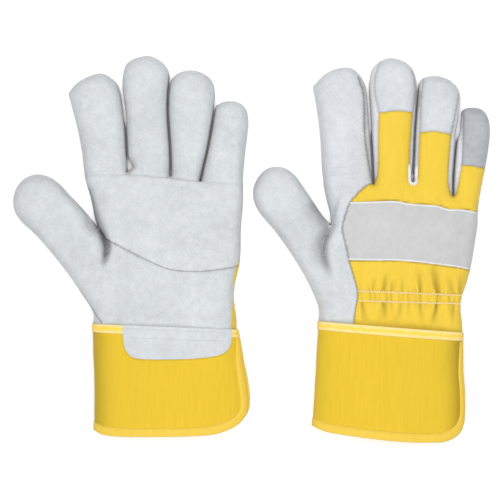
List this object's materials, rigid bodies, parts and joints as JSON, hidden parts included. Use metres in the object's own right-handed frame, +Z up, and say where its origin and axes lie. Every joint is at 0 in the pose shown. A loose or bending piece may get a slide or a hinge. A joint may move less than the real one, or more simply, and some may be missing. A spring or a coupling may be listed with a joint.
{
  "type": "work gloves",
  "caption": "Pair of work gloves, leather palms and fingertips, fabric backs, strap over the knuckles and stiff safety cuffs; each digit folds at its base.",
  "frame": {"origin": "centre of the pair, at the surface it lies on", "axes": "+Z up; fingers point along +Y; the left glove, palm up, is at -X and the right glove, back up, at +X"},
  "size_m": [0.3394, 0.276, 0.0326],
  "materials": {
    "suede_leather": "pale grey split leather, napped and matte",
    "strap_leather": "light warm-grey strap, matte",
    "yellow_drill": "yellow cotton drill with a fine twill",
    "cuff_canvas": "stiff yellow laminated cotton",
    "binding_cloth": "bright yellow folded tape",
    "cream_tape": "cream woven tape and thread",
    "fleece_lining": "off-white brushed cotton fleece",
    "elastic_web": "flat white knitted elastic"
  },
  "bodies": {
    "left_hand": {"left_cuff": "cuff_canvas", "left_cuff_binding": "binding_cloth", "left_cuff_tape": "cream_tape", "left_index_wing": "suede_leather", "left_knuckle_strap": "strap_leather", "left_palm_leather": "suede_leather", "left_palm_lining": "fleece_lining", "left_palm_patch": "suede_leather", "left_pulse_tongue": "suede_leather", "left_strap_piping": "strap_leather", "left_thumb_side": "suede_leather", "left_upper_back": "yellow_drill", "left_wrist_back": "yellow_drill", "left_wrist_elastic": "elastic_web"},
    "left_index": {"left_index_back": "suede_leather", "left_index_palm": "suede_leather"},
    "left_middle": {"left_middle_back_strip": "yellow_drill", "left_middle_palm": "suede_leather", "left_middle_sides": "suede_leather", "left_middle_tip": "suede_leather"},
    "left_ring": {"left_ring_back_strip": "yellow_drill", "left_ring_palm": "suede_leather", "left_ring_sides": "suede_leather", "left_ring_tip": "suede_leather"},
    "left_little": {"left_little_back_strip": "yellow_drill", "left_little_palm": "suede_leather", "left_little_sides": "suede_leather", "left_little_tip": "suede_leather"},
    "left_thumb": {"left_thumb_back": "suede_leather", "left_thumb_palm": "suede_leather"},
    "right_hand": {"right_cuff": "cuff_canvas", "right_cuff_binding": "binding_cloth", "right_cuff_tape": "cream_tape", "right_index_wing": "suede_leather", "right_knuckle_strap": "strap_leather", "right_palm_leather": "suede_leather", "right_palm_lining": "fleece_lining", "right_palm_patch": "suede_leather", "right_pulse_tongue": "suede_leather", "right_strap_piping": "strap_leather", "right_thumb_side": "suede_leather", "right_upper_back": "yellow_drill", "right_wrist_back": "yellow_drill", "right_wrist_elastic": "elastic_web"},
    "right_index": {"right_index_back": "suede_leather", "right_index_palm": "suede_leather"},
    "right_middle": {"right_middle_back_strip": "yellow_drill", "right_middle_palm": "suede_leather", "right_middle_sides": "suede_leather", "right_middle_tip": "suede_leather"},
    "right_ring": {"right_ring_back_strip": "yellow_drill", "right_ring_palm": "suede_leather", "right_ring_sides": "suede_leather", "right_ring_tip": "suede_leather"},
    "right_little": {"right_little_back_strip": "yellow_drill", "right_little_palm": "suede_leather", "right_little_sides": "suede_leather", "right_little_tip": "suede_leather"},
    "right_thumb": {"right_thumb_back": "suede_leather", "right_thumb_palm": "suede_leather"}
  },
  "joints": [
    {"name": "left_index_fold", "type": "hinge", "parent": "left_hand", "child": "left_index", "pos_m": [-0.104, 0.0522, 0.0253], "axis": [0.9998, -0.0192, 0], "range_deg": [0, 75]},
    {"name": "left_middle_fold", "type": "hinge", "parent": "left_hand", "child": "left_middle", "pos_m": [-0.0729, 0.0518, 0.0253], "axis": [0.9998, -0.0192, 0], "range_deg": [0, 75]},
    {"name": "left_ring_fold", "type": "hinge", "parent": "left_hand", "child": "left_ring", "pos_m": [-0.0468, 0.0497, 0.0253], "axis": [0.9998, -0.0192, 0], "range_deg": [0, 75]},
    {"name": "left_little_fold", "type": "hinge", "parent": "left_hand", "child": "left_little", "pos_m": [-0.0215, 0.0468, 0.0253], "axis": [0.9962, -0.0872, 0], "range_deg": [0, 75]},
    {"name": "left_thumb_fold", "type": "hinge", "parent": "left_hand", "child": "left_thumb", "pos_m": [-0.1084, -0.0216, 0.0253], "axis": [0.1675, 0.9859, 0], "range_deg": [0, 60]},
    {"name": "right_glove_lift", "type": "slide", "parent": "left_hand", "child": "right_hand", "axis": [0, 0, 1], "range_m": [0, 0.12]},
    {"name": "right_index_fold", "type": "hinge", "parent": "right_hand", "child": "right_index", "pos_m": [0.069, 0.05, 0.0013], "axis": [-0.9998, 0.0175, 0], "range_deg": [0, 75]},
    {"name": "right_middle_fold", "type": "hinge", "parent": "right_hand", "child": "right_middle", "pos_m": [0.1007, 0.0464, 0.0013], "axis": [-0.9998, 0.0175, 0], "range_deg": [0, 75]},
    {"name": "right_ring_fold", "type": "hinge", "parent": "right_hand", "child": "right_ring", "pos_m": [0.1287, 0.0422, 0.0013], "axis": [-0.9998, 0.0175, 0], "range_deg": [0, 75]},
    {"name": "right_little_fold", "type": "hinge", "parent": "right_hand", "child": "right_little", "pos_m": [0.1529, 0.0376, 0.0013], "axis": [-0.9998, 0.0175, 0], "range_deg": [0, 75]},
    {"name": "right_thumb_fold", "type": "hinge", "parent": "right_hand", "child": "right_thumb", "pos_m": [0.053, -0.0144, 0.0013], "axis": [-0.1511, -0.9885, 0], "range_deg": [0, 60]}
  ]
}
